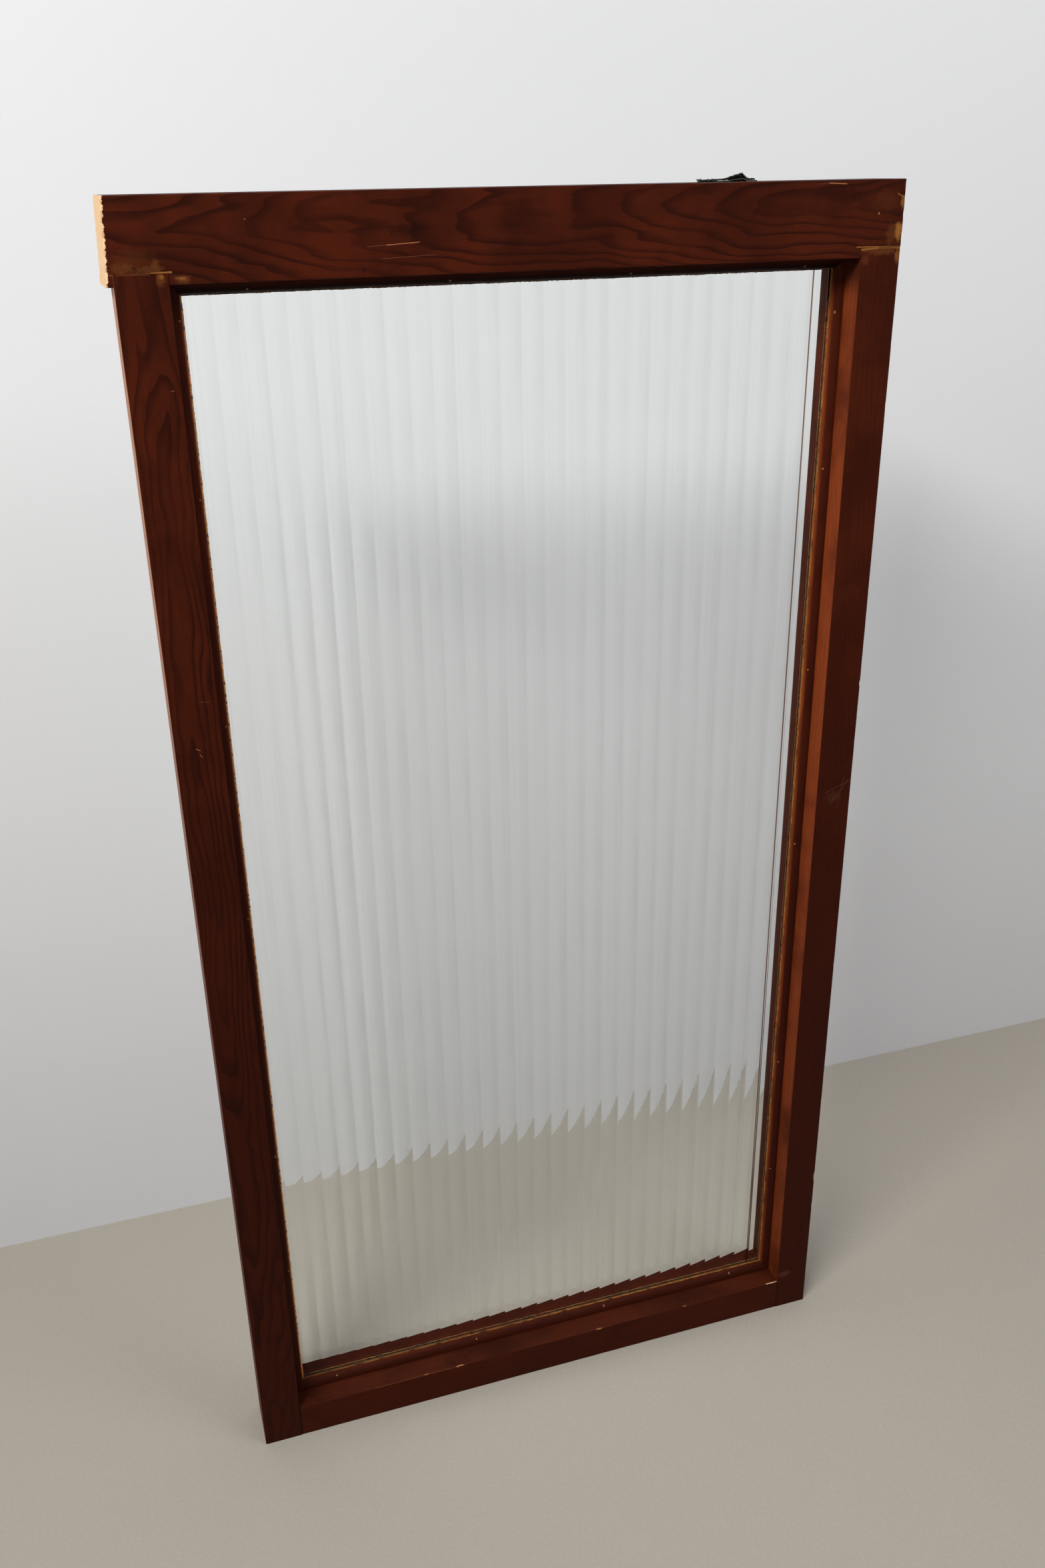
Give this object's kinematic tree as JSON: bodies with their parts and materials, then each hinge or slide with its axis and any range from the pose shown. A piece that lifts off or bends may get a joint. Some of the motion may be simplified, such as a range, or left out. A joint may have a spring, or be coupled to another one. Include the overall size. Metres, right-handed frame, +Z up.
{
  "type": "fluted glass window",
  "caption": "Fixed window light: dark stained timber frame with a housed head and rebated bars, glazed with a single sheet of upright fluted glass behind quarter-round beads.",
  "frame": {"origin": "middle of the frame's bottom face, halfway through the frame's depth", "axes": "+Z up the frame, -Y out of the room face, +X to the right seen from the room side"},
  "size_m": [0.7515, 0.06, 1.4245],
  "materials": {
    "stained_timber": "satin stain, worn",
    "fluted_glass": "clear fluted",
    "putty": "stained putty, matt",
    "felt": "torn bitumen felt"
  },
  "bodies": {
    "root": {"head": "stained_timber", "left_jamb": "stained_timber", "right_jamb": "stained_timber", "bottom_rail": "stained_timber", "glass_pane": "fluted_glass", "left_bead": "stained_timber", "right_bead": "stained_timber", "top_bead": "stained_timber", "bottom_bead": "stained_timber", "left_front_bedding": "putty", "right_front_bedding": "putty", "top_front_bedding": "putty", "bottom_front_bedding": "putty", "left_back_bedding": "putty", "right_back_bedding": "putty", "top_back_bedding": "putty", "bottom_back_bedding": "putty", "felt_scrap": "felt"}
  },
  "joints": []
}
